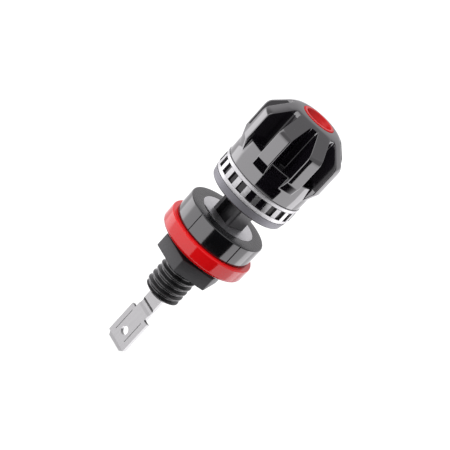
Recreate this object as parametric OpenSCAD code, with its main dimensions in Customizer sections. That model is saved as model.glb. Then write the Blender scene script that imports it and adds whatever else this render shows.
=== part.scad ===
// Panel binding post: a clamp knob on a threaded socket spindle, an insulated
// base with a threaded shank for a panel hole, and a flat blade terminal below.
// Millimetres. Z = 0 is the panel seat under the colour ring, +Z is towards the knob.

/* [Base] */
// Diameter of the black base disc
base_d = 18; // [16:0.1:19.4]
// Height of the base disc above the colour ring
base_h = 4.8; // [3.6:0.1:8]
// Diameter of the neck that carries the colour ring
neck_d = 13; // [12:0.1:15]
// Rounding of the disc's rims
base_edge = 0.35; // [0.1:0.05:1]

/* [Colour ring] */
// Diameter of the colour ring
ring_d = 20; // [19.4:0.1:24]
// Height of the colour ring
ring_h = 3.5; // [2.5:0.1:6]
// Rounding of its lower outer edge
ring_edge_low = 0.8; // [0.2:0.05:1.2]
// Rounding of its upper outer edge
ring_edge_top = 0.25; // [0.1:0.05:0.8]
// Outer diameter of the shallow relief inside the seat rim
relief_d = 16.6; // [15.6:0.1:17.2]
// Depth of that relief
relief_depth = 0.3; // [0.1:0.05:0.8]

/* [Shank] */
// Major diameter of the shank's thread
shank_d = 8.2; // [7.6:0.1:8.4]
// Length of the shank below the panel seat
shank_len = 13.4; // [10:0.1:16]
// Diameter of the plain pilot that centres the panel hole
pilot_d = 8.6; // [8.6:0.1:9]
// Length of the pilot below the panel seat
pilot_len = 1.5; // [0.8:0.1:1.5]
// Radial size of the lead-in chamfer at the shank's end
shank_lead_r = 1.1; // [0.3:0.05:1.2]
// Axial size of that chamfer
shank_lead_z = 0.7; // [0.3:0.05:1.5]

/* [Fixing nut] */
// Width across the nut's flats
nut_af = 13; // [12:0.1:14]
// Height of the nut
nut_h = 3.3; // [2.5:0.1:5]
// Gap left between the panel seat and the nut
nut_gap = 1.6; // [1.5:0.1:5]
// Turn of the nut about the axis
nut_turn = 22.4; // [0:0.1:60]
// Depth of the corner chamfer on both nut faces
nut_chamfer = 0.3; // [0.1:0.05:0.8]

/* [Terminal blade] */
// Turn of the blade and of the guide post about the axis
blade_turn = -34; // [-90:1:90]
// Thickness of the strip
strip_t = 0.8; // [0.5:0.05:1]
// Width of the strip's neck
strip_w = 3.9; // [3:0.1:4.4]
// Width of the blade
blade_w = 6.3; // [4.8:0.1:7.5]
// Length of the blade
blade_len = 8.8; // [7:0.1:12]
// Bare neck between the shank and the blade
neck_len = 6.3; // [4.6:0.1:9]
// Width of the chamfer on the blade's tip corners
tip_chamfer = 0.9; // [0.3:0.05:1.5]
// Radius of the hole in the blade
eye_r = 1; // [0.6:0.05:1.3]
// Height of the hole above the blade's tip
eye_up = 3.8; // [2.5:0.1:5]
// Depth of the groove pressed across the neck
groove_depth = 0.28; // [0.1:0.02:0.35]
// Height of that groove
groove_h = 1.9; // [1:0.1:2.6]
// Distance of the groove's top below the shank's end
groove_down = 3.2; // [1:0.1:3.4]
// Width of the strip's seating shoulder
shoulder_w = 9.4; // [7.4:0.1:10.6]
// Height of the seating shoulder
shoulder_h = 0.8; // [0.5:0.05:1.4]
// Width of the strip's riveted head
head_w = 3.2; // [2:0.1:3.4]

/* [Contact plate] */
// Diameter of the plate
plate_d = 12.4; // [11:0.1:13.4]
// Thickness of the plate
plate_t = 0.8; // [0.5:0.05:1.5]
// Distance of the plate's flat from the axis
plate_flat = 5.5; // [4.4:0.05:6]

/* [Guide post] */
// Width of the post along the blade
post_w = 5.8; // [5.2:0.1:6.2]
// Depth of the post across the blade
post_d = 5.1; // [4:0.1:5.4]
// Thickness of each cheek
cheek_t = 1; // [0.6:0.05:1.1]
// Thickness of the web between the cheeks
web_t = 1.3; // [1.2:0.05:2]
// Rounding of the post's corners
post_edge = 0.4; // [0.1:0.05:0.45]
// Height of the post above the contact plate
post_h = 7.9; // [7.8:0.1:9]

/* [Socket spindle] */
// Diameter over the spindle's thread
spindle_d = 7; // [6.4:0.1:7.4]
// Diameter of the plug socket
socket_d = 4.04; // [3.9:0.02:4.2]
// Thickness of the floor under the socket
socket_floor = 1.5; // [1:0.1:2.5]
// Length of the spindle above the post
spindle_len = 12.1; // [11.6:0.1:12.2]
// Depth of the groove for the captive ring
catch_depth = 0.5; // [0.3:0.05:0.7]
// Thickness of the captive ring
catch_t = 0.5; // [0.3:0.05:0.8]
// Distance from the captive ring to the spindle's top
catch_down = 0.55; // [0.4:0.05:0.9]
// Outer diameter of the captive ring
catch_d = 8.4; // [7.8:0.1:8.8]

/* [Clamp] */
// Opening between the contact plate and the pressure collar
clamp_gap = 5.6; // [2:0.1:5.7]
// Step from the slotted ring's side in to the pressure collar's
collar_step = 0.15; // [0:0.05:1]
// Step from the collar's upper edge in to its lower one
collar_taper = 0.3; // [0:0.05:0.8]
// Height of the collar's disc
collar_h = 1.85; // [1.4:0.05:2.4]
// Rounding of the collar's lower edge
collar_edge = 0.5; // [0.1:0.05:0.8]
// Height of the keyed part of its hole
key_h = 1.2; // [0.8:0.1:1.3]
// Outer diameter of the collar's hub
hub_d = 12.8; // [11.6:0.1:13]
// Length of the hub above the disc
hub_len = 2.7; // [2.2:0.1:3.4]
// Inner diameter of the hub
hub_bore_d = 8.6; // [8.4:0.1:9.4]
// Depth of the hub's groove for its snap ring
snap_depth = 0.5; // [0.3:0.05:0.8]
// Thickness of the snap ring
snap_t = 0.6; // [0.4:0.05:0.9]
// Outer diameter of the snap ring
snap_d = 14.2; // [13.6:0.1:14.6]
// Thickness of the thrust washer
washer_t = 0.4; // [0.2:0.05:0.6]
// Outer diameter of the thrust washer
washer_d = 15; // [14:0.1:15.6]

/* [Slotted ring] */
// Diameter of the slotted metal ring
band_d = 18.1; // [17.4:0.1:18.6]
// Height of the slotted ring
band_h = 3.9; // [3:0.1:5]
// Wall of the slotted ring
band_wall = 0.45; // [0.3:0.05:0.7]
// Number of windows
windows = 22; // [12:1:28]
// Height of a window
window_h = 2.15; // [1:0.05:2.6]
// Share of the pitch that a window takes
window_share = 0.55; // [0.3:0.01:0.7]
// Height of the rim below the windows
window_up = 0.9; // [0.4:0.05:1.2]
// Turn of the windows about the axis
window_turn = -6; // [-16:0.1:16]

/* [Knob] */
// Height of the knob above the slotted ring
knob_h = 15.8; // [15.4:0.1:18]
// Diameter over the knob's ribs
knob_d = 19.7; // [19:0.1:22]
// Diameter of the skirt below the ribs
skirt_d = 17.85; // [17:0.05:18.6]
// Height of the skirt up to the ledge of the pockets
skirt_h = 5.7; // [4:0.1:7]
// Number of ribs
ribs = 8; // [6:1:10]
// Width of a rib
rib_w = 3.05; // [2:0.05:3.4]
// Turn of the ribs about the axis
rib_turn = -14.3; // [-45:0.1:45]
// Radius of the floor of the pockets
pocket_r = 5.9; // [5.5:0.1:6.6]
// Fillet at the foot of the ribs
pocket_fillet = 0.55; // [0.2:0.05:0.6]
// Height of the taper under each rib
rib_taper = 2.3; // [1:0.1:3]
// Height of the taper's lower end above the slotted ring
rib_foot = 2.8; // [1.5:0.1:4]
// Diameter of the flat on the dome
crown_d = 8; // [7.6:0.1:9]
// Radius between the flat and the slope of the dome
crown_r = 4; // [2:0.1:5]
// Radius between the slope and the ribs' faces
shoulder_r = 2.4; // [1:0.1:4]
// Diameter of the cavity above the bush
cavity_d = 9.2; // [9:0.1:9.4]
// Thickness of the roof over the cavity
roof_t = 1.35; // [1.1:0.05:1.4]
// Thickness of the lip that the snap ring holds
lip_t = 1.15; // [0.8:0.05:1.5]

/* [Threaded bush] */
// Height of the bush
bush_h = 4.1; // [3:0.1:4.2]
// Outer diameter of the bush
bush_d = 10; // [9.6:0.1:10.4]
// Diameter of the bush's flange
bush_flange_d = 11.2; // [10.8:0.1:11.6]
// Thickness of the flange
bush_flange_t = 0.8; // [0.5:0.1:1.4]
// Height of the bush above the pressure collar's foot
bush_up = 8.3; // [8.2:0.1:8.6]

/* [Socket insert] */
// Diameter of the insert's rim
insert_d = 7.3; // [6.8:0.1:7.6]
// Height of the rim above the crown
insert_proud = 0.15; // [0.05:0.05:0.4]
// Thickness of the rim
insert_rim_t = 0.7; // [0.4:0.05:0.9]
// Outer diameter of the insert's sleeve
insert_sleeve_d = 6.2; // [5.6:0.1:6.6]
// Diameter of the insert's hole
insert_bore_d = 4.8; // [4.6:0.1:5.2]

/* [Clearances] */
// Radial play of a thread or of a running fit
run_play = 0.05; // [0.02:0.01:0.09]
// Gap around pieces that are pressed or dropped in
seat_play = 0.05; // [0.02:0.01:0.1]
// Gap between the sliding collar and the guide post
guide_play = 0.15; // [0.05:0.01:0.25]
// Axial gap between pieces that turn past each other
turn_play = 0.05; // [0.03:0.01:0.1]

/* [Hidden] */
$fn = 96;
eps = 0.01;

black = [0.07, 0.07, 0.08];
dark_grey = [0.16, 0.16, 0.17];
red = [0.78, 0.05, 0.06];
nickel = [0.80, 0.80, 0.80];
satin = [0.52, 0.53, 0.55];
tin = [0.72, 0.72, 0.71];
brass = [0.78, 0.63, 0.33];

// Heights from the panel seat upwards
base_top = ring_h + base_h;
plate_floor = base_top - plate_t;
post_top = base_top + post_h;
spindle_top = post_top + spindle_len;
collar_foot = base_top + clamp_gap;
collar_top = collar_foot + collar_h;
band_top = collar_top + band_h;
knob_top = band_top + knob_h;
lip_foot = collar_top + turn_play;
lip_top = lip_foot + lip_t;
bush_foot = collar_foot + bush_up;
bush_top = bush_foot + bush_h;
roof = knob_top - roof_t;

// Heights from the panel seat downwards
nut_top = -nut_gap;
blade_top = -shank_len - neck_len;
blade_tip = blade_top - blade_len;
eye_z = blade_tip + eye_up;
groove_z = -shank_len - groove_down - groove_h / 2;

collar_r = band_d / 2 - collar_step;
collar_foot_r = collar_r - collar_taper;
spigot_r = band_d / 2 - band_wall - seat_play;
lip_r = hub_d / 2 + run_play;
snap_z = lip_top + turn_play;
catch_z = spindle_top - catch_down - catch_t;
slot_t = strip_t + 2 * seat_play;

// Points of an arc about [x, y], from angle a to angle b
function arc(x, y, r, a, b, steps = 6) =
    [for (i = [0:steps]) let (t = a + (b - a) * i / steps) [x + r * cos(t), y + r * sin(t)]];

// Turned disc from z0 to z1 with a bore and rounded outer edges
module rounded_disc(r, bore_r, z0, z1, low, top) {
    rotate_extrude()
        polygon(concat([[bore_r, z0]],
                       arc(r - low, z0 + low, low, -90, 0),
                       arc(r - top, z1 - top, top, 0, 90),
                       [[bore_r, z1]]));
}

// Ring of plain section from z0 to z1
module tube(r, bore_r, z0, z1) {
    translate([0, 0, z0])
        difference() {
            cylinder(r = r, h = z1 - z0);
            translate([0, 0, -1]) cylinder(r = bore_r, h = z1 - z0 + 2);
        }
}

// Upright slot of the strip's section, lined up with the blade
module strip_slot(w, t, z0, z1) {
    rotate([0, 0, blade_turn])
        translate([-w / 2, -t / 2, z0]) cube([w, t, z1 - z0]);
}

// Rectangle with rounded corners, centred
module rounded_rect(w, d, r) {
    x = w / 2 - r;
    y = d / 2 - r;
    polygon(concat(arc(x, y, r, 0, 90), arc(-x, y, r, 90, 180),
                   arc(-x, -y, r, 180, 270), arc(x, -y, r, 270, 360)));
}

// Outline of the guide post, grown by a gap
module post_outline(gap) {
    rounded_rect(post_w + 2 * gap, post_d + 2 * gap, post_edge + gap);
}

module base_body() {
    lead_r = shank_d / 2 - shank_lead_r;
    recess_r = plate_d / 2 + seat_play;
    color(dark_grey)
        difference() {
            union() {
                rounded_disc(base_d / 2, 0, ring_h, base_top, base_edge, base_edge);
                translate([0, 0, relief_depth])
                    cylinder(d = neck_d, h = ring_h - relief_depth + base_edge);
                translate([0, 0, -pilot_len])
                    cylinder(d = pilot_d, h = pilot_len + relief_depth + eps);
                rotate_extrude()
                    polygon([[0, -shank_len], [lead_r, -shank_len],
                             [shank_d / 2, -shank_len + shank_lead_z],
                             [shank_d / 2, -pilot_len + eps], [0, -pilot_len + eps]]);
            }
            translate([0, 0, plate_floor]) cylinder(r = recess_r, h = plate_t + 1);
            strip_slot(shoulder_w + 2 * seat_play, slot_t, plate_floor - shoulder_h, base_top);
            strip_slot(strip_w + 2 * seat_play, slot_t, -shank_len - 1, base_top);
        }
}

module colour_ring() {
    color(red)
        difference() {
            rounded_disc(ring_d / 2, neck_d / 2 + seat_play, 0, ring_h, ring_edge_low, ring_edge_top);
            translate([0, 0, -1]) cylinder(d = relief_d, h = relief_depth + 1);
        }
}

module contact_plate() {
    color(nickel)
        translate([0, 0, plate_floor])
            rotate([0, 0, blade_turn])
                linear_extrude(plate_t)
                    difference() {
                        circle(d = plate_d);
                        translate([-plate_d, -plate_flat - plate_d]) square([2 * plate_d, plate_d]);
                        post_outline(seat_play);
                    }
}

module guide_post() {
    recess_w = post_w - 2 * cheek_t;
    recess_d = (post_d - web_t) / 2;
    color(dark_grey)
        difference() {
            translate([0, 0, plate_floor])
                rotate([0, 0, blade_turn])
                    linear_extrude(post_top - plate_floor)
                        difference() {
                            post_outline(0);
                            for (side = [-1, 1])
                                translate([-recess_w / 2, side * (web_t + recess_d + 1) / 2 - (recess_d + 1) / 2])
                                    square([recess_w, recess_d + 1]);
                        }
            strip_slot(strip_w + 2 * seat_play, slot_t, plate_floor - 1, post_top + 1);
        }
}

module terminal_strip() {
    x = strip_w / 2;
    blade_x = blade_w / 2;
    shoulder_x = shoulder_w / 2;
    head_x = head_w / 2;
    groove_r = (pow(groove_h / 2, 2) + pow(groove_depth, 2)) / (2 * groove_depth);
    half = [[head_x, post_top + socket_floor], [head_x, post_top], [x, post_top],
            [x, plate_floor], [shoulder_x, plate_floor], [shoulder_x, plate_floor - shoulder_h],
            [x, plate_floor - shoulder_h], [x, blade_top], [blade_x, blade_top],
            [blade_x, blade_tip + tip_chamfer], [blade_x - tip_chamfer, blade_tip]];
    mirrored = [for (i = [len(half) - 1:-1:0]) [-half[i][0], half[i][1]]];
    color(tin)
        rotate([0, 0, blade_turn])
            difference() {
                translate([0, strip_t / 2, 0])
                    rotate([90, 0, 0])
                        linear_extrude(strip_t)
                            difference() {
                                polygon(concat(half, mirrored));
                                translate([0, eye_z]) circle(r = eye_r);
                            }
                translate([-strip_w, -strip_t / 2 + groove_depth - groove_r, groove_z])
                    rotate([0, 90, 0]) cylinder(r = groove_r, h = 2 * strip_w);
            }
}

module socket_spindle() {
    lead = 0.3;
    r = spindle_d / 2;
    color(nickel)
        difference() {
            rotate_extrude()
                polygon([[0, post_top], [r, post_top],
                         [r, catch_z], [r - catch_depth, catch_z],
                         [r - catch_depth, catch_z + catch_t + turn_play],
                         [r, catch_z + catch_t + turn_play],
                         [r, spindle_top - lead], [r - lead, spindle_top], [0, spindle_top]]);
            translate([0, 0, post_top + socket_floor])
                cylinder(d = socket_d, h = spindle_len);
            strip_slot(head_w + 2 * seat_play, slot_t, post_top - 1, post_top + socket_floor + 1);
        }
}

module captive_ring() {
    mouth = 50;
    r = catch_d / 2;
    color(satin)
        difference() {
            tube(r, spindle_d / 2 - catch_depth + seat_play, catch_z + turn_play / 2,
                 catch_z + turn_play / 2 + catch_t);
            translate([0, 0, catch_z - 1])
                linear_extrude(catch_t + 2)
                    polygon([[0, 0], [2 * r * cos(mouth / 2), 2 * r * sin(mouth / 2)],
                             [2 * r * cos(mouth / 2), -2 * r * sin(mouth / 2)]]);
        }
}

module fixing_nut() {
    corner_r = nut_af / sqrt(3);
    flank = corner_r - nut_af / 2 + nut_chamfer;
    color(dark_grey)
        difference() {
            intersection() {
                translate([0, 0, nut_top - nut_h])
                    rotate([0, 0, nut_turn]) cylinder(r = corner_r, h = nut_h, $fn = 6);
                rotate_extrude()
                    polygon([[0, nut_top - nut_h],
                             [corner_r - flank, nut_top - nut_h],
                             [corner_r + eps, nut_top - nut_h + flank * tan(30)],
                             [corner_r + eps, nut_top - flank * tan(30)],
                             [corner_r - flank, nut_top], [0, nut_top]]);
            }
            translate([0, 0, nut_top - nut_h - 1])
                cylinder(r = shank_d / 2 + run_play, h = nut_h + 2);
        }
}

module pressure_collar() {
    hub_r = hub_d / 2;
    color(satin)
        difference() {
            rotate_extrude()
                polygon(concat([[0, collar_foot]],
                               arc(collar_foot_r - collar_edge, collar_foot + collar_edge,
                                   collar_edge, -90, 0),
                               [[collar_r, collar_top], [hub_r, collar_top],
                                [hub_r, snap_z], [hub_r - snap_depth, snap_z],
                                [hub_r - snap_depth, snap_z + snap_t + turn_play],
                                [hub_r, snap_z + snap_t + turn_play],
                                [hub_r, collar_top + hub_len], [0, collar_top + hub_len]]));
            translate([0, 0, collar_foot - 1])
                rotate([0, 0, blade_turn])
                    linear_extrude(key_h + 2) post_outline(guide_play);
            translate([0, 0, collar_foot + key_h])
                cylinder(d = hub_bore_d, h = collar_h + hub_len);
        }
}

module thrust_washer() {
    color(brass)
        tube(washer_d / 2, lip_r + seat_play, collar_top, collar_top + washer_t);
}

module snap_ring() {
    mouth = 40;
    r = snap_d / 2;
    color(satin)
        difference() {
            tube(r, hub_d / 2 - snap_depth + seat_play, snap_z + turn_play / 2,
                 snap_z + turn_play / 2 + snap_t);
            translate([0, 0, snap_z - 1])
                linear_extrude(snap_t + 2)
                    polygon([[0, 0], [2 * r * cos(mouth / 2), 2 * r * sin(mouth / 2)],
                             [2 * r * cos(mouth / 2), -2 * r * sin(mouth / 2)]]);
        }
}

// Half outline of the ribs: tapered foot, upright face, shoulder, slope and crown
function rib_outline() =
    let (r = knob_d / 2,
         slope = 45,
         rise = shoulder_r * sin(slope),
         crown_x = crown_d / 2 + crown_r * sin(slope),
         crown_z = knob_top - crown_r * (1 - cos(slope)),
         slope_x = r - shoulder_r * (1 - cos(slope)),
         shoulder_z = crown_z - (slope_x - crown_x) - rise)
    concat([[0, band_top + rib_foot], [skirt_d / 2, band_top + rib_foot],
            [r, band_top + rib_foot + rib_taper]],
           arc(r - shoulder_r, shoulder_z, shoulder_r, 0, slope),
           arc(crown_d / 2, knob_top - crown_r, crown_r, slope, 90),
           [[0, knob_top]]);

// Outline of the pocket between two ribs, with filleted corners at its floor
module pocket_outline() {
    half = 180 / ribs;
    w = rib_w / 2;
    f = pocket_fillet;
    reach = knob_d;
    along = sqrt(pow(pocket_r + f, 2) - pow(w + f, 2));
    centre = [along * cos(half) + (w + f) * sin(half), along * sin(half) - (w + f) * cos(half)];
    floor_a = atan2(centre[1], centre[0]);
    mouth = [reach * cos(half) + w * sin(half), reach * sin(half) - w * cos(half)];
    upper = arc(centre[0], centre[1], f, half + 90, floor_a + 180, 5);
    floor_arc = arc(0, 0, pocket_r, floor_a, -floor_a, 4);
    lower = [for (i = [len(upper) - 1:-1:0]) [upper[i][0], -upper[i][1]]];
    inner = [for (i = [1:len(floor_arc) - 2]) floor_arc[i]];
    polygon(concat([mouth], upper, inner, lower, [[mouth[0], -mouth[1]]]));
}

module knob_shell() {
    skirt_edge = 0.2;
    color(black)
        difference() {
            union() {
                rounded_disc(skirt_d / 2, 0, band_top, band_top + skirt_h, skirt_edge / 2, skirt_edge);
                translate([0, 0, lip_foot]) cylinder(r = spigot_r, h = band_top - lip_foot + 1);
                difference() {
                    rotate_extrude() polygon(rib_outline());
                    for (i = [0:ribs - 1])
                        rotate([0, 0, rib_turn + (i + 0.5) * 360 / ribs])
                            translate([0, 0, band_top])
                                linear_extrude(knob_h + 1) pocket_outline();
                }
            }
            translate([0, 0, lip_foot - 1]) cylinder(r = lip_r, h = lip_t + 2);
            translate([0, 0, lip_foot - 1]) cylinder(d = washer_d + 2 * seat_play, h = washer_t + 1);
            translate([0, 0, lip_top])
                cylinder(d = snap_d + 4 * seat_play, h = bush_foot - lip_top);
            translate([0, 0, bush_foot - eps])
                cylinder(d = bush_flange_d + 2 * seat_play, h = bush_flange_t + eps);
            translate([0, 0, bush_foot]) cylinder(d = bush_d + 2 * seat_play, h = bush_h);
            translate([0, 0, bush_foot]) cylinder(d = cavity_d, h = roof - bush_foot);
            translate([0, 0, roof - 1]) cylinder(d = insert_sleeve_d + 2 * seat_play, h = roof_t + 2);
            translate([0, 0, knob_top + insert_proud - insert_rim_t])
                cylinder(d = insert_d + 2 * seat_play, h = 2);
        }
}

module threaded_bush() {
    color(brass)
        difference() {
            union() {
                translate([0, 0, bush_foot]) cylinder(d = bush_flange_d, h = bush_flange_t);
                translate([0, 0, bush_foot]) cylinder(d = bush_d, h = bush_h);
            }
            translate([0, 0, bush_foot - 1]) cylinder(r = spindle_d / 2 + run_play, h = bush_h + 2);
        }
}

module slotted_ring() {
    r = band_d / 2;
    window_w = 2 * PI * r / windows * window_share;
    edge = 0.12;
    color(nickel)
        difference() {
            rounded_disc(r, r - band_wall, collar_top + turn_play, band_top, edge, edge);
            for (i = [0:windows - 1])
                rotate([0, 0, window_turn + i * 360 / windows])
                    translate([r - 2 * band_wall, -window_w / 2, collar_top + window_up])
                        cube([3 * band_wall, window_w, window_h]);
        }
}

module socket_insert() {
    rim_foot = knob_top + insert_proud - insert_rim_t;
    edge = 0.12;
    color(red)
        difference() {
            union() {
                rounded_disc(insert_d / 2, 0, rim_foot, knob_top + insert_proud, edge / 2, edge);
                translate([0, 0, roof]) cylinder(d = insert_sleeve_d, h = rim_foot - roof + eps);
            }
            translate([0, 0, roof - 1]) cylinder(d = insert_bore_d, h = roof_t + 3);
        }
}

base_body();
colour_ring();
contact_plate();
guide_post();
terminal_strip();
socket_spindle();
captive_ring();
fixing_nut();
pressure_collar();
thrust_washer();
snap_ring();
knob_shell();
threaded_bush();
slotted_ring();
socket_insert();
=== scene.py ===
"""Panel binding post: finishes, thread, knob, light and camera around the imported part.

Sizes are in millimetres, and angles in degrees unless a value is multiplied by DEG."""

import math

import bpy
from mathutils import Matrix, Vector


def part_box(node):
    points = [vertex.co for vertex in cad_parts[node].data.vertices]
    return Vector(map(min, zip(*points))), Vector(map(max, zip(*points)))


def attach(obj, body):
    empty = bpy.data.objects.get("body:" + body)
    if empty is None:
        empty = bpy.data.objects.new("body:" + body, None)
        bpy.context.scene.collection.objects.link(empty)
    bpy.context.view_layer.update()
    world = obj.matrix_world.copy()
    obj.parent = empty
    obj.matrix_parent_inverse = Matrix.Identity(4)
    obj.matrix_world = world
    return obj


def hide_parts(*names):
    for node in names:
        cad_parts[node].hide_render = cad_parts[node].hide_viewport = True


MM = 0.001
DEG = math.pi / 180

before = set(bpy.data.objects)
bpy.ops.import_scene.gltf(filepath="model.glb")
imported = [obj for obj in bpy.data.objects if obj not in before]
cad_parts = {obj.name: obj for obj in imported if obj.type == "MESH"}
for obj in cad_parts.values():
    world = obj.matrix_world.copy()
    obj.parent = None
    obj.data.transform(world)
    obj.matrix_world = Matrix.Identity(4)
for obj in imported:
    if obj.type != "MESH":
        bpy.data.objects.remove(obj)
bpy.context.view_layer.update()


# ---------------------------------------------------------------- heights read from the part

def low(node, axis=2):
    """Lowest coordinate of a node of the part."""
    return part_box(node)[0][axis] / MM


def high(node, axis=2):
    """Highest coordinate of a node of the part."""
    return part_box(node)[1][axis] / MM


KNOB_TOP = high("knob_shell")
KNOB_FOOT = low("knob_shell")
INSERT_TOP = high("socket_insert")
INSERT_FOOT = low("socket_insert")
BAND_TOP = high("slotted_ring")
BAND_FOOT = low("slotted_ring")
BASE_TOP = high("base_body")
RING_TOP = high("colour_ring")
SHANK_END = low("base_body")
NUT_TOP = high("fixing_nut")
NUT_FOOT = low("fixing_nut")
BLADE_TIP = low("terminal_strip")


# ---------------------------------------------------------------- node helpers

def number(tree, operation, first, second=0.0):
    """A Math node of one or two inputs, each a number or another node's output."""
    node = tree.nodes.new("ShaderNodeMath")
    node.operation = operation
    for socket, value in zip(node.inputs, (first, second)):
        if isinstance(value, (int, float)):
            socket.default_value = value
        else:
            tree.links.new(value, socket)
    return node.outputs[0]


def ease(tree, value, start, stop, low_end=0.0, high_end=1.0):
    """Smooth step of a value from start to stop."""
    node = tree.nodes.new("ShaderNodeMapRange")
    node.interpolation_type = "SMOOTHSTEP"
    tree.links.new(value, node.inputs["Value"])
    node.inputs["From Min"].default_value = start
    node.inputs["From Max"].default_value = stop
    node.inputs["To Min"].default_value = low_end
    node.inputs["To Max"].default_value = high_end
    return node.outputs["Result"]


def between(tree, value, start, stop, soft):
    """1 where a value lies between start and stop, with soft ends."""
    rise = ease(tree, value, start - soft, start + soft)
    fall = ease(tree, value, stop - soft, stop + soft, 1.0, 0.0)
    return number(tree, "MULTIPLY", rise, fall)


def background_rays(tree):
    """1 for the rays to which the background is plain white: camera, glossy and transmission."""
    path = tree.nodes.new("ShaderNodeLightPath")
    seen = number(tree, "MAXIMUM", path.outputs["Is Camera Ray"], path.outputs["Is Glossy Ray"])
    return number(tree, "MAXIMUM", seen, path.outputs["Is Transmission Ray"])


# ---------------------------------------------------------------- modelling helpers

def deselect():
    """Nothing selected and no edit mode, so that the next operator acts on its own piece only."""
    if bpy.context.object and bpy.context.object.mode != "OBJECT":
        bpy.ops.object.mode_set(mode="OBJECT")
    bpy.ops.object.select_all(action="DESELECT")


def pick(piece):
    """One piece selected and active."""
    deselect()
    piece.select_set(True)
    bpy.context.view_layer.objects.active = piece


def sheet(name, points, edges=(), faces=()):
    """A new object from points in mm."""
    mesh = bpy.data.meshes.new(name)
    mesh.from_pydata([tuple(c * MM for c in point) for point in points], edges, faces)
    piece = bpy.data.objects.new(name, mesh)
    bpy.context.scene.collection.objects.link(piece)
    return piece


def weld(piece, gap=0.001, sliver=None):
    """Merges points less than a gap apart, drops slivers and turns the faces outwards."""
    pick(piece)
    bpy.ops.object.mode_set(mode="EDIT")
    bpy.ops.mesh.select_all(action="SELECT")
    bpy.ops.mesh.remove_doubles(threshold=gap * MM)
    if sliver:
        bpy.ops.mesh.dissolve_degenerate(threshold=sliver * MM)
    bpy.ops.mesh.normals_make_consistent(inside=False)
    bpy.ops.object.mode_set(mode="OBJECT")


def solid(name, points, faces):
    """A closed piece from points in mm and faces."""
    piece = sheet(name, points, faces=faces)
    weld(piece, sliver=0.0001)
    return piece


def rounded(points, steps):
    """An outline of (radius, height, rounding) with its corners rounded, as (radius, height)."""
    line = []
    for i, (x, z, bend) in enumerate(points):
        if bend <= 0:
            line.append((x, z))
            continue
        here = Vector((x, z))
        before = (Vector(points[i - 1][:2]) - here).normalized()
        after = (Vector(points[(i + 1) % len(points)][:2]) - here).normalized()
        half = before.angle(after) / 2
        centre = here + (before + after).normalized() * (bend / math.sin(half))
        first = here + before * (bend / math.tan(half)) - centre
        last = here + after * (bend / math.tan(half)) - centre
        for k in range(steps + 1):
            spoke = first.lerp(last, k / steps).normalized() * bend
            line.append(tuple(centre + spoke))
    return line


def turned(name, points, turns, steps=5):
    """A turned piece: its closed outline, with rounded corners, spun once round the axis."""
    line = rounded(points, steps)
    count = len(line)
    piece = sheet(name, [(x, 0, z) for x, z in line], [(i, (i + 1) % count) for i in range(count)])
    pick(piece)
    bpy.ops.object.mode_set(mode="EDIT")
    bpy.ops.mesh.select_all(action="SELECT")
    bpy.ops.mesh.spin(steps=turns, angle=2 * math.pi, center=(0, 0, 0), axis=(0, 0, 1))
    bpy.ops.object.mode_set(mode="OBJECT")
    weld(piece, gap=0.002)
    return piece


def box_at(name, size, centre, turn=0.0):
    """A box with its centre at a point, turned about the upright; the turn is in radians."""
    deselect()
    bpy.ops.mesh.primitive_cube_add(size=1)
    block = bpy.context.object
    block.name = name
    block.data.transform(Matrix.Diagonal((*[side * MM for side in size], 1)))
    place = Matrix.Translation(Vector(centre) * MM)
    block.data.transform(place @ Matrix.Rotation(turn, 4, "Z"))
    return block


def cut(piece, cutter):
    """Takes a cutter out of a piece and removes the cutter."""
    pick(piece)
    knife = piece.modifiers.new("cut", "BOOLEAN")
    knife.operation = "DIFFERENCE"
    knife.solver = "EXACT"
    knife.object = cutter
    bpy.ops.object.modifier_apply(modifier="cut")
    bpy.data.objects.remove(cutter)


def soften(piece, width, segments):
    """Small rounding along the sharp edges of a piece."""
    pick(piece)
    edge = piece.modifiers.new("soften", "BEVEL")
    edge.width = width * MM
    edge.segments = segments
    edge.limit_method = "ANGLE"
    edge.angle_limit = 30 * DEG
    bpy.ops.object.modifier_apply(modifier="soften")


def settle(piece, material, body, node, angle=35):
    """Finish, shading, body and slot of a piece, and the node of the part that it stands for."""
    piece.data.materials.clear()
    piece.data.materials.append(material)
    pick(piece)
    bpy.ops.object.shade_smooth_by_angle(angle=angle * DEG)
    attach(piece, body)
    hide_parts(node)


# ---------------------------------------------------------------- camera

def place_camera():
    """Looks down on the post from the front, leaning it over to the right."""
    lens = bpy.data.cameras.new("camera")
    camera = bpy.data.objects.new("camera", lens)
    bpy.context.scene.collection.objects.link(camera)
    lens.sensor_width = 36
    lens.lens = 109.3
    lens.clip_start = 0.01
    lens.clip_end = 20
    elevation = 19.65 * DEG
    distance = 270 * MM
    lean = 42.5 * DEG
    aim = Vector((0.40, 0, 6.85)) * MM
    back = Vector((0, -math.cos(elevation), math.sin(elevation)))
    camera.location = aim + back * distance
    upright = (-back).to_track_quat("-Z", "Y").to_matrix()
    camera.rotation_euler = (upright @ Matrix.Rotation(lean, 3, "Z")).to_euler()
    bpy.context.scene.camera = camera


# ---------------------------------------------------------------- light

def dress_world():
    """Even pale surroundings, which the background and the reflections see as white."""
    light_level, white = 0.8, 1.0
    world = bpy.data.worlds.new("studio")
    bpy.context.scene.world = world
    world.use_nodes = True
    tree = world.node_tree
    tree.nodes.clear()
    mix = tree.nodes.new("ShaderNodeMixShader")
    tree.links.new(background_rays(tree), mix.inputs[0])
    for socket, strength in zip(mix.inputs[1:3], (light_level, white)):
        glow = tree.nodes.new("ShaderNodeBackground")
        glow.inputs["Color"].default_value = (1, 1, 1, 1)
        glow.inputs["Strength"].default_value = strength
        tree.links.new(glow.outputs[0], socket)
    out = tree.nodes.new("ShaderNodeOutputWorld")
    tree.links.new(mix.outputs[0], out.inputs["Surface"])


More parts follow.
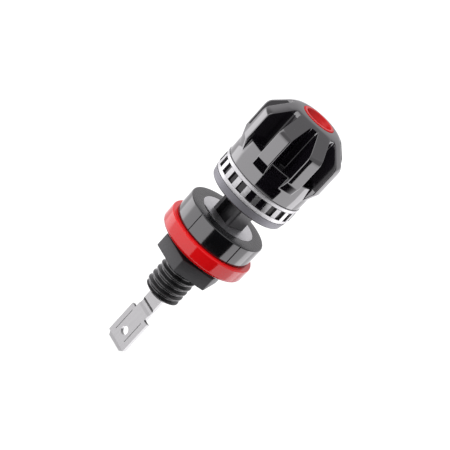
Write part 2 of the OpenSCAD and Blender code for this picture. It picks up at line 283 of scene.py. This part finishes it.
SURROUND = 0.72
CARD_ZONES = [
    # azimuth from, to, softness; elevation from, to, softness; brightness
    (-200, 200, 1, -48, 4, 4, 1.35),      # pale table, seen by upright walls
    (-200, 200, 1, 44, 100, 8, 0.42),     # grey ceiling
    (-125, 125, 12, 2, 44, 12, 0.33),     # dark room in front
    (-92, -48, 6, 2, 46, 6, 1.2),         # pale card that lights edges and the strip's groove
    (-200, 200, 1, -100, -46, 5, 0.0),    # black card under the post
    (-156, -124, 5, -46, 6, 4, 1.15),     # dim side of the bright strip on the left
    (-126, -92, 5, -46, 6, 4, 2.35),      # bright strip on the left
    (104, 128, 1.5, -46, 6, 4, 2.4),      # bright strip on the right
    (-8, 54, 0.8, -31, 12, 3, 0.0),       # black flag beside the camera
]


def studio_cards():
    """A shell of grey, white and black card round the post that only reflections see.

    A zone lies over those before it. Azimuths are counted from the camera side to the right."""
    deselect()
    bpy.ops.mesh.primitive_uv_sphere_add(segments=48, ring_count=24, radius=1.0)
    shell = bpy.context.object
    shell.name = "studio_cards"
    mat = bpy.data.materials.new("studio_cards")
    mat.use_nodes = True
    tree = mat.node_tree
    tree.nodes.clear()
    place = tree.nodes.new("ShaderNodeTexCoord")
    split = tree.nodes.new("ShaderNodeSeparateXYZ")
    tree.links.new(place.outputs["Object"], split.inputs[0])
    front = number(tree, "MULTIPLY", split.outputs["Y"], -1.0)
    around_post = number(tree, "ARCTAN2", split.outputs["X"], front)
    azimuth = number(tree, "MULTIPLY", around_post, 1 / DEG)
    above = number(tree, "ARCSINE", split.outputs["Z"])
    elevation = number(tree, "MULTIPLY", above, 1 / DEG)
    level = SURROUND
    for az_start, az_stop, az_soft, el_start, el_stop, el_soft, strength in CARD_ZONES:
        mask = number(tree, "MULTIPLY", between(tree, azimuth, az_start, az_stop, az_soft),
                      between(tree, elevation, el_start, el_stop, el_soft))
        step = number(tree, "MULTIPLY", mask, number(tree, "SUBTRACT", strength, level))
        level = number(tree, "ADD", level, step)
    glow = tree.nodes.new("ShaderNodeEmission")
    glow.inputs["Color"].default_value = (1.0, 0.98, 1.01, 1)
    tree.links.new(level, glow.inputs["Strength"])
    out = tree.nodes.new("ShaderNodeOutputMaterial")
    tree.links.new(glow.outputs[0], out.inputs["Surface"])
    shell.data.materials.append(mat)
    shell.visible_camera = False
    shell.visible_diffuse = False
    shell.visible_shadow = False
    shell.visible_transmission = False


def lay_floor():
    """Pale floor under the blade's tip: it keeps a soft shadow and is clear from below."""
    side_length = 6
    gap = 0.3
    deselect()
    bpy.ops.mesh.primitive_plane_add(size=side_length)
    floor = bpy.context.object
    floor.name = "floor"
    floor.data.transform(Matrix.Translation((0, 0, (BLADE_TIP - gap) * MM)))
    mat = bpy.data.materials.new("floor_white")
    mat.use_nodes = True
    tree = mat.node_tree
    shader = tree.nodes["Principled BSDF"]
    shader.inputs["Base Color"].default_value = (0.35, 0.35, 0.35, 1)
    shader.inputs["Roughness"].default_value = 0.9
    shader.inputs["Emission Color"].default_value = (1, 1, 1, 1)
    glow = number(tree, "MULTIPLY", background_rays(tree), 0.78)
    tree.links.new(glow, shader.inputs["Emission Strength"])
    geometry = tree.nodes.new("ShaderNodeNewGeometry")
    top_side = number(tree, "SUBTRACT", 1.0, geometry.outputs["Backfacing"])
    tree.links.new(top_side, shader.inputs["Alpha"])
    floor.data.materials.append(mat)
    floor.visible_glossy = False


def hang_lamp(name, azimuth, elevation, distance, size, power):
    """A square soft lamp aimed at the middle of the post; distance and size are in metres."""
    data = bpy.data.lights.new(name, "AREA")
    data.size = size
    data.energy = power
    lamp = bpy.data.objects.new(name, data)
    bpy.context.scene.collection.objects.link(lamp)
    a, e = azimuth * DEG, elevation * DEG
    away = Vector((math.sin(a) * math.cos(e), -math.cos(a) * math.cos(e), math.sin(e)))
    lamp.location = away * distance
    lamp.rotation_euler = away.to_track_quat("Z", "Y").to_euler()
    lamp.visible_glossy = False
    lamp.visible_camera = False


# ---------------------------------------------------------------- finishes

def finish_of(name, colour, rough, metal=0.0, ior=1.5, grain=(900, 900, 900), bump=0.0,
              fleck=0.15):
    """A finish with its own grain: colour and roughness drift a little, a fine bump follows.

    grain is the number of marks per metre along X, Y and Z; unequal numbers give brushed
    lines. fleck is the drift of the colour, and bump is the height of the marks."""
    shift = 0.1
    mat = bpy.data.materials.new(name)
    mat.use_nodes = True
    tree = mat.node_tree
    shader = tree.nodes["Principled BSDF"]
    shader.inputs["Metallic"].default_value = metal
    shader.inputs["IOR"].default_value = ior
    place = tree.nodes.new("ShaderNodeTexCoord")
    scale = tree.nodes.new("ShaderNodeMapping")
    scale.inputs["Scale"].default_value = grain
    tree.links.new(place.outputs["Object"], scale.inputs["Vector"])
    marks = tree.nodes.new("ShaderNodeTexNoise")
    marks.inputs["Scale"].default_value = 1.0
    marks.inputs["Detail"].default_value = 3.0
    tree.links.new(scale.outputs["Vector"], marks.inputs["Vector"])
    tone = tree.nodes.new("ShaderNodeMix")
    tone.data_type = "RGBA"
    tone.inputs[6].default_value = (*[c * (1 - fleck) for c in colour], 1)
    tone.inputs[7].default_value = (*[min(c * (1 + fleck), 1) for c in colour], 1)
    tree.links.new(marks.outputs["Fac"], tone.inputs[0])
    tree.links.new(tone.outputs[2], shader.inputs["Base Color"])
    drift = ease(tree, marks.outputs["Fac"], 0.25, 0.75, rough * (1 - shift), rough * (1 + shift))
    tree.links.new(drift, shader.inputs["Roughness"])
    if bump:
        relief = tree.nodes.new("ShaderNodeBump")
        relief.inputs["Strength"].default_value = 1.0
        relief.inputs["Distance"].default_value = bump * MM
        tree.links.new(marks.outputs["Fac"], relief.inputs["Height"])
        tree.links.new(relief.outputs["Normal"], shader.inputs["Normal"])
    return mat


def make_finishes():
    """All finishes by their short names: plastics first, then metals."""
    return {
        "black": finish_of("knob_gloss_black", (0.006, 0.005, 0.007), 0.06, ior=2.75,
                           grain=(260, 260, 260)),
        # painted shade: a duller, less reflective copy of the gloss black (plain IOR, rougher, a
        # touch darker), put on the knob's pockets and the base's recess so that they read darker
        # where shade falls
        "recess": finish_of("painted_shade_black", (0.005, 0.004, 0.006), 0.12),
        "base": finish_of("base_black", (0.005, 0.005, 0.006), 0.11, ior=2.15, bump=0.003),
        "shank": finish_of("shank_black", (0.010, 0.010, 0.011), 0.26, ior=1.8,
                           grain=(2600, 2600, 2600), bump=0.01),
        "matt": finish_of("nut_matt_black", (0.026, 0.026, 0.029), 0.45, ior=1.65,
                          grain=(2600, 2600, 2600), bump=0.02),
        "post": finish_of("post_black", (0.022, 0.021, 0.024), 0.38, ior=1.6,
                          grain=(2200, 2200, 2200), bump=0.01),
        "red": finish_of("ring_gloss_red", (0.72, 0.004, 0.006), 0.1, ior=1.62,
                         grain=(300, 300, 300), fleck=0.04),
        "insert": finish_of("insert_red", (0.56, 0.002, 0.003), 0.3,
                            grain=(500, 500, 500), fleck=0.08),
        "nickel": finish_of("band_nickel", (0.58, 0.58, 0.585), 0.36, 1.0,
                            grain=(1800, 1800, 2600), bump=0.02, fleck=0.16),
        "plate": finish_of("plate_nickel", (0.86, 0.86, 0.87), 0.42, 1.0,
                           grain=(700, 700, 700), fleck=0.06),
        "satin": finish_of("collar_satin", (0.25, 0.25, 0.27), 0.5, 1.0,
                           grain=(300, 300, 3000), fleck=0.1),
        "steel": finish_of("spring_steel", (0.32, 0.33, 0.34), 0.3, 1.0,
                           grain=(700, 700, 700), fleck=0.1),
        "tin": finish_of("strip_tin", (0.42, 0.42, 0.42), 0.3, 1.0,
                         grain=(2600, 2600, 160), bump=0.004, fleck=0.1),
        "brass": finish_of("bush_brass", (0.70, 0.50, 0.20), 0.25, 1.0,
                           grain=(500, 500, 2500), fleck=0.1),
    }


WEAR = {
    "contact_plate": "plate",
    "guide_post": "post",
    "socket_spindle": "plate",
    "captive_ring": "steel",
    "pressure_collar": "satin",
    "thrust_washer": "brass",
    "snap_ring": "steel",
    "threaded_bush": "brass",
}


def dress_nodes():
    """Finishes of the pieces that are seen as the part has them."""
    for node, key in WEAR.items():
        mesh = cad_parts[node].data
        mesh.materials.clear()
        mesh.materials.append(finish[key])


# ---------------------------------------------------------------- knob

KNOB_R = 9.85
RIBS = 8
SECTOR = 360 / RIBS
RIB_TURN = -14.3
RIB_HALF = 1.525
RIB_EDGE = 0.28
POCKET_R = 5.9
POCKET_FILLET = 0.55
POCKET_BLEND = 0.35
SKIRT_R = 8.925
SKIRT_FOOT_ROUND = 0.15
CREASE = 0.08
LEDGE_Z = BAND_TOP + 5.7
LEDGE_LIP = 0.2
LEDGE_HOLLOW = 0.3
TAPER_FOOT = BAND_TOP + 2.8
TAPER_TOP = TAPER_FOOT + 2.3
CROWN_R = 4.0
CROWN_ROUND = 4.0
SHOULDER_ROUND = 2.4

SEAT_RIM_R = 3.9
SEAT_R = 3.66
SEAT_DEPTH = 0.6
PLUG_HOLE_R = 3.15
CROWN_WALL = 1.35
BUSH_BORE_R = 4.6
BUSH_BORE_FOOT = 4.6
COLLAR_BORE_R = 6.5
COLLAR_BORE_DEPTH = 0.4
SPIGOT_R = 8.55

OUTER_STEPS = 5
EDGE_STEPS = 6
SIDE_STEPS = 5
FILLET_STEPS = 6
FLOOR_STEPS = 3
TAPER_STEPS = 8
ROUND_STEPS = 4
LEAST_ANGLE = 0.0006
THIN = 0.0001


def rib_radius(z):
    """Radius of the ribs' outer face: taper, upright face, shoulder, 45 degree slope, crown."""
    half = math.sqrt(0.5)
    crown_x = CROWN_R + CROWN_ROUND * half
    crown_z = KNOB_TOP - CROWN_ROUND * (1 - half)
    slope_x = KNOB_R - SHOULDER_ROUND * (1 - half)
    slope_z = crown_z - (slope_x - crown_x)
    upright_top = slope_z - SHOULDER_ROUND * half
    if z < TAPER_FOOT:
        return SKIRT_R
    if z < TAPER_TOP:
        return SKIRT_R + (KNOB_R - SKIRT_R) * (z - TAPER_FOOT) / (TAPER_TOP - TAPER_FOOT)
    if z < upright_top:
        return KNOB_R
    if z < slope_z:
        rise = z - upright_top
        return KNOB_R - SHOULDER_ROUND + math.sqrt(SHOULDER_ROUND ** 2 - rise ** 2)
    if z < crown_z:
        return slope_x - (z - slope_z)
    rise = z - (KNOB_TOP - CROWN_ROUND)
    return CROWN_R + math.sqrt(max(CROWN_ROUND ** 2 - rise ** 2, 0))


def lesser(a, b, blend):
    """The lesser of two radii, blended where they meet."""
    near = max(blend - abs(a - b), 0) / blend
    return min(a, b) - near * near * blend / 4


def on_arc(centre, radius, angle):
    """A point of an arc; the angle is in radians."""
    return (centre[0] + radius * math.cos(angle), centre[1] + radius * math.sin(angle))


def rib_section(outer, floor, edge, fillet):
    """Half a rib's outline at one height, from its centre to the pocket's middle.

    The corner arc touches the outer circle and the rib's side, and the fillet touches the
    side and the pocket's floor. On a low rib the two arcs touch each other. The points are
    given as (angle, radius)."""
    edge = min(edge, max((outer - floor) * 0.45, THIN), RIB_HALF * 0.5)
    fillet = min(fillet, max(outer - floor, THIN) * 2)
    middle = SECTOR / 2 * DEG
    reach = floor + fillet
    turn = math.asin(min((RIB_HALF + fillet) / reach, 0.99))
    turn = min(turn, middle * 0.93)
    axis = (0, 0)
    foot = on_arc(axis, reach, turn)
    span = math.sqrt(max((outer - edge) ** 2 - (RIB_HALF - edge) ** 2, 0))
    if span > foot[0]:
        corner = (span, RIB_HALF - edge)
        heading = math.pi / 2
        side = [(corner[0], RIB_HALF), (foot[0], RIB_HALF)]
    else:
        arm = outer - edge
        spread = (arm ** 2 + reach ** 2 - (fillet + edge) ** 2) / (2 * arm * reach)
        corner = on_arc(axis, arm, turn - math.acos(max(-1, min(1, spread))))
        heading = math.atan2(foot[1] - corner[1], foot[0] - corner[0])
        side = [on_arc(corner, edge, heading)] * 2
    start = math.atan2(corner[1], corner[0])
    into = math.atan2(side[1][1] - foot[1], side[1][0] - foot[0]) % (2 * math.pi)
    inward = turn + math.pi
    points = [on_arc(axis, outer, start * i / OUTER_STEPS) for i in range(OUTER_STEPS)]
    points += [on_arc(corner, edge, start + (heading - start) * i / EDGE_STEPS)
               for i in range(EDGE_STEPS + 1)]
    for i in range(1, SIDE_STEPS + 1):
        t = i / (SIDE_STEPS + 1)
        points.append(tuple(a + (b - a) * t for a, b in zip(*side)))
    points += [on_arc(foot, fillet, into + (inward - into) * i / FILLET_STEPS)
               for i in range(FILLET_STEPS + 1)]
    points += [on_arc(axis, floor, turn + (middle - turn) * i / FLOOR_STEPS)
               for i in range(1, FLOOR_STEPS + 1)]
    return [(math.atan2(y, x), math.hypot(x, y)) for x, y in points]


def spread_out(section):
    """Keeps the points of a section a least angle apart, within the half sector."""
    angles = [a for a, r in section]
    for i in range(1, len(angles)):
        angles[i] = max(angles[i], angles[i - 1] + LEAST_ANGLE)
    scale = SECTOR / 2 * DEG / angles[-1]
    return [(a * scale, r) for a, (_, r) in zip(angles, section)]


def knob_rings():
    """The knob's skin from the skirt's foot to the crown, as (height, half section)."""
    rings = []

    def ring(z, outer, floor, fillet=CREASE, edge=RIB_EDGE):
        rings.append((z, spread_out(rib_section(outer, floor, edge, fillet))))

    def quarter(steps):
        return [math.pi / 2 * i / steps for i in range(steps + 1)]

    for a in quarter(ROUND_STEPS - 1):
        r = SKIRT_R - SKIRT_FOOT_ROUND + SKIRT_FOOT_ROUND * math.sin(a)
        ring(BAND_TOP + SKIRT_FOOT_ROUND * (1 - math.cos(a)), r, r, POCKET_FILLET)
    ring(TAPER_FOOT - 0.4, SKIRT_R, SKIRT_R, edge=CREASE)
    for i in range(TAPER_STEPS + 1):
        z = TAPER_FOOT + (TAPER_TOP - 0.12 - TAPER_FOOT) * i / TAPER_STEPS
        ring(z, max(rib_radius(z), SKIRT_R + 0.002), SKIRT_R)
    for rise, inset in ((-0.03, 0.025), (0.08, 0.004), (0.2, 0)):
        ring(TAPER_TOP + rise, KNOB_R - inset, SKIRT_R)
    for a in quarter(ROUND_STEPS):
        floor = SKIRT_R - LEDGE_LIP + LEDGE_LIP * math.cos(a)
        ring(LEDGE_Z - LEDGE_LIP + LEDGE_LIP * math.sin(a), KNOB_R, floor)
    for a in quarter(ROUND_STEPS):
        floor = POCKET_R + LEDGE_HOLLOW * (1 - math.sin(a))
        ring(LEDGE_Z + LEDGE_HOLLOW * (1 - math.cos(a)), KNOB_R, floor, POCKET_FILLET)
    z = LEDGE_Z + 1.2
    upright_step, crown_step = 0.6, 0.13
    while z < KNOB_TOP - 0.02:
        outer = rib_radius(z)
        ring(z, outer, lesser(outer, POCKET_R, POCKET_BLEND), POCKET_FILLET)
        z += upright_step if outer > KNOB_R - 0.001 else crown_step
    top = KNOB_TOP - 0.004
    ring(top, rib_radius(top), rib_radius(top), POCKET_FILLET)
    return rings


def around(half):
    """All points of a ring from half a rib's section: mirrored, then repeated for each rib."""
    sector = [(-a, r) for a, r in reversed(half[1:])] + half[:-1]
    return [(a + (RIB_TURN - 90 + i * SECTOR) * DEG, r) for i in range(RIBS) for a, r in sector]


# The pockets that this finds take the painted shade: a less reflective black that darkens them
# where shade falls.
def in_pocket(x, y, z):
    """Whether a point of the knob's skin lies in a pocket, off the ribs' tops and the crown."""
    r = math.hypot(x, y)
    off_rib = (math.degrees(math.atan2(y, x)) + 90 - RIB_TURN + SECTOR / 2) % SECTOR - SECTOR / 2
    rib_half = math.degrees(math.asin(min(1, 1.36 / max(r, 1.4))))
    if abs(off_rib) < rib_half or r >= rib_radius(z) - 0.25:
        return False
    return LEDGE_Z + 0.02 < z < KNOB_TOP - 1.5


def make_knob():
    """Ribbed knob: a sheet wrapped round the axis, ring by ring, then closed by its bores."""
    rings = [(z, around(section)) for z, section in knob_rings()]
    turns = [a for a, r in rings[0][1]]
    count = len(turns)
    seat_z = KNOB_TOP - SEAT_DEPTH
    wall_z = KNOB_TOP - CROWN_WALL
    for z, r in ((KNOB_TOP, SEAT_RIM_R), (KNOB_TOP, SEAT_R), (seat_z, SEAT_R),
                 (seat_z, PLUG_HOLE_R), (wall_z, PLUG_HOLE_R), (wall_z, BUSH_BORE_R),
                 (KNOB_FOOT + BUSH_BORE_FOOT, BUSH_BORE_R),
                 (KNOB_FOOT + COLLAR_BORE_DEPTH, COLLAR_BORE_R), (KNOB_FOOT, COLLAR_BORE_R),
                 (KNOB_FOOT, SPIGOT_R), (BAND_TOP - 0.02, SPIGOT_R)):
        rings.append((z, [(a, r) for a in turns]))
    points = [(r * math.cos(a), r * math.sin(a), z) for z, ring in rings for a, r in ring]
    faces = []
    for j in range(len(rings)):
        k = (j + 1) % len(rings)
        for i in range(count):
            n = (i + 1) % count
            faces.append((j * count + i, j * count + n, k * count + n, k * count + i))
    knob = sheet("knob", points, faces=faces)
    weld(knob)
    settle(knob, finish["black"], "knob", "knob_shell", angle=38)
    # Painted shade: the pockets and the hidden foot get the duller, less reflective black, which
    # darkens the pockets where shade falls.
    knob.data.materials.append(finish["recess"])
    for face in knob.data.polygons:
        x, y, z = face.center / MM
        if z < BAND_TOP or in_pocket(x, y, z):
            face.material_index = 1
    return knob


# ---------------------------------------------------------------- slotted ring

BAND_R = 9.05
BAND_BORE_R = 8.6
WINDOWS = 22
WINDOW_TURN = -6
WINDOW_SHARE = 0.55
WINDOW_FOOT = 0.9
WINDOW_HEIGHT = 2.15


def make_band():
    """Slotted ring: a turned band with a conical rim above and below its windows."""
    foot = BAND_FOOT
    band = turned("slotted_band", [
        (BAND_BORE_R, foot, 0), (8.86, foot, 0.05), (9.03, foot + 0.85, 0.08),
        (8.99, foot + 0.98, 0), (8.99, foot + 2.98, 0), (8.95, foot + 3.08, 0),
        (BAND_R, BAND_TOP - 0.12, 0.06), (8.98, BAND_TOP, 0.04), (BAND_BORE_R, BAND_TOP, 0),
    ], turns=176, steps=3)
    width = 2 * math.pi * BAND_R / WINDOWS * WINDOW_SHARE
    for i in range(WINDOWS):
        a = (i * 360 / WINDOWS + WINDOW_TURN) * DEG
        centre = (9.0 * math.cos(a), 9.0 * math.sin(a), foot + WINDOW_FOOT + WINDOW_HEIGHT / 2)
        cut(band, box_at("window", (1.6, width, WINDOW_HEIGHT), centre, a))
    settle(band, finish["nickel"], "knob", "slotted_ring", angle=20)
    return band


# ---------------------------------------------------------------- insert

INSERT_R = 3.62
INSERT_BORE_R = 2.4
INSERT_NECK_R = 3.1
INSERT_FLANGE = 0.7
TEETH = 48
TOOTH_SHARE = 0.035


def make_insert():
    """Red socket insert: proud rim with fine teeth where it is pressed into the crown."""
    top, under = INSERT_TOP, INSERT_TOP - INSERT_FLANGE
    insert = turned("red_insert", [
        (INSERT_BORE_R, INSERT_FOOT, 0), (INSERT_NECK_R, INSERT_FOOT, 0),
        (INSERT_NECK_R, under, 0), (INSERT_R, under, 0), (INSERT_R, top, 0.2),
        (3.02, top, 0.12), (2.85, top - 0.6, 0.1), (2.5, top - 1.35, 0.1),
    ], turns=6 * TEETH)
    for vert in insert.data.vertices:
        r = math.hypot(vert.co.x, vert.co.y)
        if r > 3.3 * MM and vert.co.z > (KNOB_TOP - 0.03) * MM:
            a = math.atan2(vert.co.y, vert.co.x)
            grow = 1 + TOOTH_SHARE * math.cos(a * TEETH)
            vert.co.x *= grow
            vert.co.y *= grow
    settle(insert, finish["insert"], "knob", "socket_insert")
    return insert


# ---------------------------------------------------------------- base and shank

BASE_R = 9.0
BASE_ROUND = 0.3
BASE_FOOT = RING_TOP + 0.02
RECESS_R = 6.25
RECESS_FLOOR = 7.5
NECK_R = 6.4
NECK_FOOT = 0.3
PILOT_R = 4.3
SHANK_TOP = -1.5
GROOVES_AT = (-27.6, 37.8)
GROOVE_SIZE = (0.26, 0.36, 5.2)

SHANK_R = 4.1
LEAD_R = 3.0
LEAD_LENGTH = 0.75
PITCH = 1.41
THREAD_DEPTH = 0.62
THREAD_START = -1.79
THREAD_CREST = 0.24
THREAD_FLANK = 0.3
CREST_ROUND = 0.05
THREAD_TURNS = 112
THREAD_ROWS = 24


def thread_profile(share):
    """Depth of the thread, from 0 at the crest to 1 at the root, at a share of the pitch."""
    share = share % 1
    if share < THREAD_CREST:
        return CREST_ROUND * (2 * share / THREAD_CREST - 1) ** 2
    if share < THREAD_CREST + THREAD_FLANK:
        return CREST_ROUND + (1 - CREST_ROUND) * (share - THREAD_CREST) / THREAD_FLANK
    if share < 1 - THREAD_FLANK:
        return 1.0
    return CREST_ROUND + (1 - CREST_ROUND) * (1 - share) / THREAD_FLANK


def make_shank():
    """Right-handed threaded shank with a chamfered end: a wrapped sheet follows the helix."""
    first = math.floor((SHANK_END - SHANK_TOP) / PITCH) - 2
    count = (2 - first) * THREAD_ROWS
    row = count + 1
    points = [(0, 0, SHANK_TOP), (0, 0, SHANK_END)]
    for i in range(THREAD_TURNS):
        turn = i / THREAD_TURNS
        a = turn * 2 * math.pi - math.pi / 2
        for j in range(row):
            z = THREAD_START + PITCH * (first + j / THREAD_ROWS + turn)
            z = max(min(z, SHANK_TOP), SHANK_END)
            lead = LEAD_R + (z - SHANK_END) * (SHANK_R - LEAD_R) / LEAD_LENGTH
            r = min(SHANK_R - THREAD_DEPTH * thread_profile(j / THREAD_ROWS), lead)
            if z <= SHANK_END:
                r = LEAD_R
            elif z >= SHANK_TOP:
                r = SHANK_R - THREAD_DEPTH
            points.append((r * math.cos(a), r * math.sin(a), z))
    faces = []
    for i in range(THREAD_TURNS):
        n = (i + 1) % THREAD_TURNS
        drop = THREAD_ROWS if n == 0 else 0
        for j in range(count - drop):
            here, there = 2 + i * row + j, 2 + n * row + j + drop
            faces.append((here, here + 1, there + 1, there))
    return solid("shank", points, faces)


def make_base():
    """Base moulding: turned body with the plate's recess, two grooves, pilot and shank."""
    body = turned("base", [
        (0, RECESS_FLOOR, 0), (RECESS_R, RECESS_FLOOR, 0), (RECESS_R, BASE_TOP, 0.05),
        (BASE_R, BASE_TOP, BASE_ROUND), (BASE_R, BASE_FOOT, BASE_ROUND),
        (NECK_R, BASE_FOOT, 0), (NECK_R, NECK_FOOT, 0), (PILOT_R, NECK_FOOT, 0),
        (PILOT_R, SHANK_TOP, 0.1), (0, SHANK_TOP, 0),
    ], turns=160)
    for azimuth in GROOVES_AT:
        a = azimuth * DEG
        centre = (BASE_R * math.sin(a), -BASE_R * math.cos(a), RING_TOP + 2.2)
        cut(body, box_at("groove", GROOVE_SIZE, centre, a))
    shank = make_shank()
    pick(body)
    shank.select_set(True)
    bpy.ops.object.join()
    body.name = "base_moulding"
    settle(body, finish["base"], "base", "base_body")
    body.data.materials.append(finish["shank"])
    body.data.materials.append(finish["recess"])
    for face in body.data.polygons:
        x, y, z = face.center / MM
        if z < 0.2 or z > BASE_TOP - 0.01:
            face.material_index = 1
        # Painted shade: the plate's recess takes the duller, less reflective black, which darkens
        # the gap where shade falls.
        elif z < BASE_TOP - 0.03 and math.hypot(x, y) < RECESS_R + 0.05:
            face.material_index = 2
    return body


# ---------------------------------------------------------------- colour ring and nut

RING_R = 10.0
RING_BORE_R = 6.55
RING_SEAT_R = 8.3
NUT_ACROSS = 13
NUT_TURN = -7.6
NUT_BORE_R = 4.15
NUT_BORE_LENGTH = 10
NUT_BORE_MIDDLE = -3.2


def make_ring():
    """Colour ring with rounded rims, relieved below round its bore."""
    ring = turned("red_ring", [
        (RING_BORE_R, NECK_FOOT, 0), (RING_SEAT_R, NECK_FOOT, 0), (RING_SEAT_R, 0, 0.05),
        (RING_R, 0, 0.8), (RING_R, RING_TOP, 0.3), (RING_BORE_R, RING_TOP, 0),
    ], turns=160)
    settle(ring, finish["red"], "base", "colour_ring")
    return ring


def make_nut():
    """Hexagon nut with softened corners."""
    deselect()
    bpy.ops.mesh.primitive_cylinder_add(vertices=6, radius=NUT_ACROSS / math.sqrt(3) * MM,
                                        depth=(NUT_TOP - NUT_FOOT) * MM)
    nut = bpy.context.object
    nut.name = "fixing_nut_hex"
    place = Matrix.Translation((0, 0, (NUT_TOP + NUT_FOOT) / 2 * MM))
    nut.data.transform(place @ Matrix.Rotation(NUT_TURN * DEG, 4, "Z"))
    deselect()
    bpy.ops.mesh.primitive_cylinder_add(vertices=64, radius=NUT_BORE_R * MM,
                                        depth=NUT_BORE_LENGTH * MM)
    bore = bpy.context.object
    bore.data.transform(Matrix.Translation((0, 0, NUT_BORE_MIDDLE * MM)))
    cut(nut, bore)
    soften(nut, 0.22, 3)
    settle(nut, finish["matt"], "nut", "fixing_nut")
    return nut


# ---------------------------------------------------------------- terminal strip

STRIP_TURN = -34 * DEG
STRIP_HALF = 0.4
STRIP_GROOVE_TOP = -16.85
STRIP_GROOVE = [
    # outward from the strip's middle, up from the groove's top
    (-0.7, 0.0), (-STRIP_HALF, 0.0), (-0.2, -0.16), (-0.12, -0.4),
    (-0.14, -0.65), (-0.24, -0.95), (-STRIP_HALF, -1.2), (-0.7, -1.65),
]
LINE_SIZE = (0.22, 0.22, 5.6)
LINE_OFF, LINE_Z = 1.9, -23.4
SLOT_SIZE = (0.7, 0.36, 0.5)
SLOT_OFF, SLOT_Z = 2.35, -19.75
TIP_LEAN = 20 * DEG
TIP_CUTTER = (9, 0.5, 1.8)
TIP_CUTTER_OUT, TIP_CUTTER_DROP = 0.52, 0.1


def spot(across, out, z):
    """A point from its distances along the strip's width and out of its middle."""
    width_way = Vector((math.cos(STRIP_TURN), math.sin(STRIP_TURN), 0))
    out_way = Vector((math.sin(-STRIP_TURN), math.cos(STRIP_TURN), 0))
    return width_way * across + out_way * out + Vector((0, 0, z))


def groove_cutter():
    """A bar with the groove's section, lying across the strip's front face."""
    points = [spot(across, out, STRIP_GROOVE_TOP + rise)
              for across in (-2.5, 2.5) for out, rise in STRIP_GROOVE]
    count = len(STRIP_GROOVE)
    faces = [tuple(range(count)), tuple(range(2 * count - 1, count - 1, -1))]
    for i in range(count):
        n = (i + 1) % count
        faces.append((i, i + count, n + count, n))
    return solid("groove", points, faces)


def make_blade():
    """Terminal strip: a copy of the part's own, with coined lines, ear slots and a bevel."""
    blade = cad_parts["terminal_strip"].copy()
    blade.data = blade.data.copy()
    blade.name = "tinned_strip"
    blade.parent = None
    for key in list(blade.keys()):
        del blade[key]
    bpy.context.scene.collection.objects.link(blade)
    pick(blade)
    bpy.ops.object.mode_set(mode="EDIT")
    bpy.ops.mesh.select_all(action="SELECT")
    bpy.ops.mesh.remove_doubles(threshold=0.001 * MM)
    bpy.ops.mesh.dissolve_limited(angle_limit=0.5 * DEG)
    bpy.ops.object.mode_set(mode="OBJECT")
    cut(blade, groove_cutter())
    for side in (-1, 1):
        for face in (-STRIP_HALF, STRIP_HALF):
            line_at = spot(side * LINE_OFF, face, LINE_Z)
            cut(blade, box_at("line", LINE_SIZE, line_at, STRIP_TURN))
        cut(blade, box_at("slot", SLOT_SIZE, spot(side * SLOT_OFF, 0, SLOT_Z), STRIP_TURN))
    for side in (-1, 1):
        wedge = box_at("wedge", TIP_CUTTER, (0, 0, 0))
        tip = spot(0, side * TIP_CUTTER_OUT, BLADE_TIP - TIP_CUTTER_DROP)
        place = Matrix.Translation(tip * MM) @ Matrix.Rotation(STRIP_TURN, 4, "Z")
        wedge.data.transform(place @ Matrix.Rotation(side * TIP_LEAN, 4, "X"))
        cut(blade, wedge)
    soften(blade, 0.05, 2)
    settle(blade, finish["tin"], "base", "terminal_strip", angle=9)
    return blade


# ---------------------------------------------------------------- the scene

dress_world()
lay_floor()
hang_lamp("key_lamp", azimuth=-50, elevation=50, distance=0.9, size=0.6, power=5.0)
studio_cards()
place_camera()

finish = make_finishes()
dress_nodes()
make_base()
make_ring()
make_nut()
make_insert()
make_blade()
make_band()
make_knob()

bpy.context.scene.view_settings.view_transform = "Standard"
